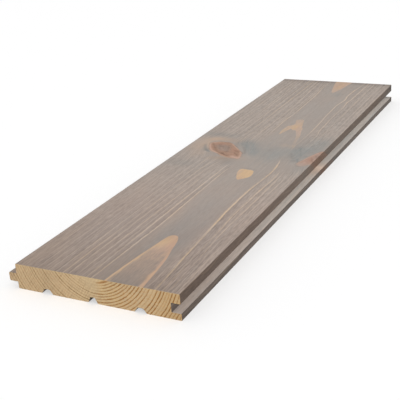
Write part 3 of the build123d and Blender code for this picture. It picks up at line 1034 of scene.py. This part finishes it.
broad = g.noise(grain_at, (0.045, 0.010, 0.045), 2)
wobble = g.noise(grain_at, (0.10, 0.018, 0.10), 2, shift=(3, 7, 1)) - 0.5
ragged = g.noise(grain_at, (0.55, 0.11, 0.55), 2, shift=(9, 2, 5)) - 0.5
streak = g.noise(grain_at, (0.42, 0.016, 0.42), 3, 0.55, shift=(1, 4, 8))
fibre = g.noise(grain_at, (1.25, 0.045, 1.25), 3, 0.6, shift=(5, 1, 3))
hair = g.noise(grain_at, (3.4, 0.12, 3.4), 2, 0.6, shift=(2, 6, 4))
fleck = g.noise(grain_at, (0.85, 0.13, 0.85), 2, 0.6, shift=(4, 8, 2))
long_ = g.noise(grain_at, (0.62, 0.012, 0.62), 2, 0.6, shift=(7, 1, 5))
teeth = g.noise(grain_at, (0.9, 0.21, 0.9), 2, 0.6, shift=(2, 3, 9))
lively = (0.40 + fine_ * 0.85) * (1.0 - g.field("calm") * 0.62)
blotch = g.noise(grain_at, (0.075, 0.030, 0.075), 3, 0.5, shift=(4, 4, 9))

# late wood lines: a slow rise from the ring's inside, then a clean edge
moved = ring + (wobble * 0.7 + ragged * 0.9 + (teeth - 0.5) * late * 1.25) / gap_
near_ring = g.math("ROUND", moved)
off = (moved - near_ring) * gap_ * outer_ / (0.45 + late * 1.30)
strong = late * g.step(g.noise(grain_at, (0.16, 0.014, 0.16), 2, shift=(7, 7, 2)), 0.30, 0.62, 0.50, 1.15)
line_at = g.step(off, -1.25, -0.15) * g.step(off, 0.40, 0.02)
line_ = g.inside(line_at * strong * g.step(teeth, 0.30, 0.62, 0.66, 1.12))
# weaker lines between them
moved2 = ring * 2.0 + 0.43 + (wobble * 2.2 + ragged * 1.4) / gap_
off2 = g.math("ABSOLUTE", (moved2 - g.math("ROUND", moved2)) * gap_ * 0.5)
gate = g.step(g.noise(grain_at, (0.30, 0.020, 0.30), 2, shift=(8, 3, 6)), 0.46, 0.62)
thin = g.step(off2, 0.56, 0.10) * gate * fine_ * 0.46

# flames
flame_ = g.field("patch") + ragged * 0.9 + wobble * 0.5
within = g.step(flame_, -0.25, 0.35)
uneven = g.noise(grain_at, (0.34, 0.07, 0.34), 2, 0.6, shift=(1, 9, 4))
border = g.step(flame_ / (g.field("patch_border") * (0.10 + uneven * 1.8)), 1.0, 0.25)
fill_ = g.field("patch_fill")
fill_ = fill_ + (fleck - 0.5) * fill_ * (1.0 - fill_) * 3.2
filled = g.inside(g.high(border * (0.64 + uneven * 0.50), fill_))
flame_mask = within * filled * g.step(streak, 0.25, 0.55, 0.90, 1.0)

# colours of the stained wood
# painted sheen: the face's taupe turns greyer towards the far end
taupe = g.mix(g.step(g.split(grain_at)[1], 110, 240), lin(166, 150.5, 140.5, LIGHT), lin(166, 154.5, 145.5, LIGHT))
cooler = lin(148, 147, 143, LIGHT)
warmer = lin(178, 156, 138, LIGHT)
base = g.mix(g.inside(cool_ + (blotch - 0.5) * 0.5), taupe, cooler)
base = g.mix(g.inside(warm_ + (streak - 0.5) * 0.6 + (broad - 0.5) * 0.4), base, warmer)
shade = 1.0 + tone_and_shade_ + lively * ((streak - 0.5) * 0.30 + (fibre - 0.5) * 0.50 + (hair - 0.5) * 0.42 + (fleck - 0.5) * 0.64 + (long_ - 0.5) * 0.28) + (blotch - 0.5) * 0.12
pores = g.step(g.noise(grain_at, (1.7, 0.10, 1.7), 1, shift=(6, 9, 7)), 0.66, 0.76)
shade = shade - pores * lively * 0.12 - g.step(off, 1.9, 0.55) * g.step(off, 0.30, 0.50) * late * 0.11
base = g.scaled(base, shade)

tinge = g.noise(grain_at, (0.16, 0.045, 0.16), 2, shift=(3, 3, 6)) - 0.5
line_colour = g.mix(g.inside(late_warm + tinge * 1.3), lin(206, 190, 177, LIGHT), lin(214, 185, 151, LIGHT))
base = g.mix(line_ * 0.92, base, g.scaled(line_colour, 1.0 + tone_and_shade_))
base = g.mix(thin * 0.85, base, lin(192, 176, 163, LIGHT))
flame_warm_ = g.inside(g.field("patch_warm") + tinge * 1.5)
flame_colour = g.mix(flame_warm_, lin(198, 170, 151, LIGHT), lin(211, 179, 142, LIGHT))
flame_colour = g.mix(g.inside(g.field("patch_fire") + tinge * 0.3), flame_colour, g.mix(flame_warm_, lin(200, 162, 136, LIGHT), lin(204, 170, 132, LIGHT)))
flame_colour = g.scaled(flame_colour, 1.0 + (streak - 0.5) * 0.18 + (fibre - 0.5) * 0.20 + (fleck - 0.5) * 0.12)
base = g.mix(flame_mask * 0.95, base, flame_colour)


def knot(base, name, body, heart, rim, seed, share=1.0):
    """Lays a knot's colours over the wood. Returns the colour, its mask and its cracks."""
    a, b, _ = g.split(g.vector(name))
    place = g.join(a * 3.0, b * 3.0, float(seed))
    wander = g.noise(place, (0.9, 0.9, 1.0), 3, 0.55) - 0.5
    r = g.math("SQRT", a * a + b * b) * (1.0 + wander * 0.16)
    mask = g.step(r, 1.03, 0.94)
    rings_ = g.math("SINE", r * 30.0 + wander * 7.0)
    mottle = g.noise(place, (2.2, 2.2, 1.0), 3, 0.6, shift=(3, 1, 0))
    heart_r = g.math("SQRT", (a - 0.16) * (a - 0.16) + b * b * 0.8) + wander * 0.5
    colour = g.mix(g.step(heart_r, 0.62, 0.25), body, heart)
    colour = g.mix(g.step(r, 0.78, 0.97) * 0.45, colour, rim)
    colour = g.scaled(colour, 1.0 + rings_ * 0.045 + (mottle - 0.5) * 0.38)
    colour = g.mix(g.field("knot_red") * 0.55, colour, lin(178, 134, 114, LIGHT))
    colour = g.mix(g.inside(g.field("knot_dark") * (0.6 + mottle * 0.8)) * 0.8, colour, lin(104, 78, 60, LIGHT))
    colour = g.mix(g.field("knot_light") * 0.85, colour, lin(202, 170, 155, LIGHT))
    # drying cracks run out from the heart
    angle = g.math("ARCTAN2", b, a)
    ray = g.math("ABSOLUTE", g.math("SINE", angle * 2.5 + wander * 3.0 + 0.35))
    cracks = 0.6 * g.step(ray, 0.13, 0.03) * g.step(r, 0.20, 0.34) * g.step(r, 0.92, 0.70) * g.step(mottle, 0.42, 0.60)
    colour = g.mix(cracks * 0.62, colour, lin(84, 60, 48, LIGHT))
    # a dark line of bark pinched between knot and wood
    bark = g.step(r, 0.93, 1.0) * g.step(r, 1.09, 1.02) * g.step(g.noise(place, (0.7, 0.7, 1.0), 1, shift=(7, 2, 0)), 0.42, 0.62)
    base = g.mix(mask * share, base, colour)
    base = g.mix(bark * 0.22, base, lin(112, 98, 86, LIGHT))
    halo = g.step(r, 1.9, 1.0) * (1.0 - mask)
    return base, mask, cracks, halo


base, mask1, cracks1, halo1 = knot(base, "knot_a", lin(170, 138, 118, LIGHT), lin(154, 134, 121, LIGHT), lin(184, 149, 126, LIGHT), 2)
fade = g.step(g.split(g.vector("grain"))[1], 246, 262, 0.35, 1.0)
# the second knot's colours fade where painted shade darkens the lip
base, mask2, cracks2, halo2 = knot(base, "knot_b", lin(177, 147, 131, LIGHT), lin(170, 146, 133, LIGHT), lin(190, 161, 143, LIGHT), 6, fade * (1.0 - soak_shade_and_light_ * 0.5))

# thinner stain lets the raw wood through, underneath and in the relief grooves
raw = g.mix(line_at * late * 0.8, lin(205, 174, 134, 1.1), lin(168, 124, 80, 1.1))
raw = g.scaled(raw, 0.95 + (streak - 0.5) * 0.20 + (fibre - 0.5) * 0.20)
cover = g.inside(stain_ + (blotch - 0.5) * 0.55 * (1.0 - stain_) * 2.0 + (streak - 0.5) * (1.0 - stain_))
base = g.mix(cover, raw, base)
base = g.scaled(base, 1.0 - line_at * late * (1.0 - stain_) * 0.7)
# painted shade darkens the lips, the groove's wall and roof and the relief walls, and painted light lightens the
# groove's floor, along with the stain soaked into the edges
base = g.scaled(base, 1.0 - soak_shade_and_light_ * 0.70)
base = g.mix(g.field("brown"), base, (1.06, 0.70, 0.45), "MULTIPLY")

rough = 0.68 + (fibre - 0.5) * 0.14 - line_ * 0.05 - mask1 * 0.06 - mask2 * 0.06 + (1.0 - stain_) * 0.20 + soak_shade_and_light_ * 0.10
height = fibre * 0.5 + hair * 0.35 + line_ * 0.55 + thin * 0.2 - pores * 0.5 - (cracks1 + cracks2) * 3.0 + (1.0 - stain_) * hair * 0.8
stained = g.finish(base, rough, height, 0.00006, 0.14)

# ------------------------------------------------------------------ sawn ends
g = Graph("sawn_end_grain")
polar = g.vector("end_polar")
grain_at = g.vector("grain")
eu, _, ev = g.split(grain_at)
ring, gap_, late, to_right = g.field("end_ring"), g.field("end_gap"), g.field("end_late"), g.field("end_right")
pale_, wedge_ = g.field("end_pale"), g.field("end_wedge")

wobble = g.noise(polar, (0.06, 0.12, 1.0), 2) - 0.5
ragged = g.noise(polar, (0.55, 0.9, 1.0), 2, shift=(5, 3, 0)) - 0.5
moved = ring + (wobble * 0.9 + ragged * 0.75) / gap_
off = (moved - g.math("ROUND", moved)) * gap_
width = 0.66 + to_right * 0.30
line_at = g.step(off / width, -1.0, 0.0) * g.step(off, 0.42, 0.05)
lumps = g.noise(grain_at, (0.62, 0.02, 0.62), 2, 0.6, shift=(6, 2, 1))
strong = late * g.step(g.noise(polar, (0.10, 0.35, 1.0), 2, shift=(2, 8, 0)), 0.30, 0.62, 0.65, 1.35)
line_ = g.inside(line_at * strong * (1.0 + (lumps - 0.5) * 1.7))
rays = g.noise(polar, (2.6, 0.16, 1.0), 2, 0.6, shift=(1, 1, 0))
speck = g.noise(grain_at, (2.1, 0.02, 2.1), 3, 0.65)
cloud = g.noise(grain_at, (0.09, 0.02, 0.13), 2, shift=(2, 2, 2))

# straight marks of a circular saw lean across the end
q = eu * math.sin(math.radians(56)) - ev * math.cos(math.radians(56))
p = eu * math.cos(math.radians(56)) + ev * math.sin(math.radians(56))
saw_at = g.join(q, p, 0.0)
saw_noise = g.noise(saw_at, (0.30, 0.03, 1.0), 2)
saw = g.math("SINE", q * (2 * math.pi / 1.95) + saw_noise * 15.0)
saw_mark = g.step(saw, 0.25, 0.95) * g.step(g.noise(saw_at, (0.22, 0.09, 1.0), 2, shift=(4, 4, 0)), 0.34, 0.60) * (1.0 - to_right * 0.72)

END_LIGHT = 1.69
early = g.mix(cloud, lin(198, 172, 134, END_LIGHT), lin(205, 177, 137, END_LIGHT))
early = g.mix(g.step(eu, 108, 132) * 0.6, early, lin(194, 163, 116, END_LIGHT))
early = g.mix(g.step(eu, 60, 38) * g.step(lumps, 0.46, 0.62) * 0.55, early, lin(184, 149, 114, END_LIGHT))
early = g.mix(g.step(eu, 76, 92) * g.step(lumps, 0.46, 0.62) * 0.44, early, lin(182, 138, 85, END_LIGHT))
early = g.mix(g.step(eu, 1.0, -1.5) * 0.15, early, lin(184, 148, 118, END_LIGHT))
late_colour = g.mix(to_right, lin(146, 118, 77, END_LIGHT), lin(148, 101, 48, END_LIGHT))
late_colour = g.mix(to_right * g.step(cloud, 0.50, 0.66) * 0.55, late_colour, lin(156, 122, 64, END_LIGHT))
colour = g.mix(line_ * 0.97, early, late_colour)
colour = g.mix(pale_ * 0.45, colour, lin(188, 166, 129, END_LIGHT))
colour = g.mix(wedge_ * 0.8, colour, lin(160, 114, 66, END_LIGHT))
colour = g.mix(saw_mark * 0.27, colour, lin(142, 114, 78, END_LIGHT))
colour = g.scaled(colour, 0.985 - g.step(eu, 68, 80) * 0.012 + (speck - 0.5) * 0.45 + (rays - 0.5) * 0.24 + (cloud - 0.5) * 0.20 + (lumps - 0.5) * 0.50)
# painted highlight along the top edge, where the torn fibres also stand pale
pale_fibres_and_highlight = g.step(ev, 19.45, 19.85)
colour = g.mix(pale_fibres_and_highlight * 0.35, colour, lin(208, 184, 146, END_LIGHT))
colour = g.scaled(colour, 1.0 - g.step(eu, 9, 16) * g.step(eu, 44, 36) * 0.07 - g.step(eu, 1, -3) * 0.08 - g.step(eu, 122, 134) * g.step(ev, 7, 2) * 0.08)
colour = g.mix(g.step(eu, 68, 74) * g.step(eu, 92, 84) * 0.35, colour, g.mix(1.0, colour, (0.98, 0.95, 0.80), "MULTIPLY"))
height = speck * 0.6 + line_ * 0.7 - saw_mark * 0.6 + rays * 0.3
sawn = g.finish(colour, 0.80 + (speck - 0.5) * 0.1, height, 0.00010, 0.20)

board.data.materials.append(stained)
board.data.materials.append(sawn)
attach(board, "root")
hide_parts("floorboard")

# ------------------------------------------------------------------ floor
floor_mesh = bpy.data.meshes.new("floor")
floor_mesh.from_pydata([(-9, -9, 0), (9, -9, 0), (9, 9, 0), (-9, 9, 0)], [], [(0, 1, 2, 3)])
floor = bpy.data.objects.new("floor", floor_mesh)
bpy.context.scene.collection.objects.link(floor)
g = Graph("floor")
shader = g.node("ShaderNodeBsdfPrincipled")
shader.inputs["Base Color"].default_value = (0.95, 0.95, 0.95, 1)
shader.inputs["Roughness"].default_value = 0.9
shader.inputs["Specular IOR Level"].default_value = 0.1
out = g.node("ShaderNodeOutputMaterial")
g.tree.links.new(shader.outputs[0], out.inputs["Surface"])
floor_mesh.materials.append(g.material)

# ------------------------------------------------------------------ light
# a pale room, a little brighter behind, and one broad soft light from the front
world = bpy.data.worlds.new("studio")
bpy.context.scene.world = world
world.use_nodes = True
tree = world.node_tree
tree.nodes.clear()
where = tree.nodes.new("ShaderNodeTexCoord")
lean = tree.nodes.new("ShaderNodeVectorMath")
lean.operation = "DOT_PRODUCT"
lean.inputs[1].default_value = Vector((-0.55, 0.70, 0.45)).normalized()
ramp = tree.nodes.new("ShaderNodeMapRange")
ramp.inputs["From Min"].default_value, ramp.inputs["From Max"].default_value = -1.0, 1.0
ramp.inputs["To Min"].default_value, ramp.inputs["To Max"].default_value = 0.354, 0.75
shine = tree.nodes.new("ShaderNodeBackground")
out = tree.nodes.new("ShaderNodeOutputWorld")
tree.links.new(where.outputs["Generated"], lean.inputs[0])
tree.links.new(lean.outputs["Value"], ramp.inputs["Value"])
tree.links.new(ramp.outputs[0], shine.inputs["Strength"])
tree.links.new(shine.outputs[0], out.inputs["Surface"])

lamp_data = bpy.data.lights.new("key", "SUN")
lamp_data.angle = math.radians(13)
lamp_data.energy = 1.275 * math.pi
lamp = bpy.data.objects.new("key", lamp_data)
bpy.context.scene.collection.objects.link(lamp)
lamp.location = (0.9, -1.4, 1.0)
lamp.rotation_mode = "QUATERNION"
lamp.rotation_quaternion = Vector((0.50, -0.74, 0.45)).to_track_quat("Z", "Y")
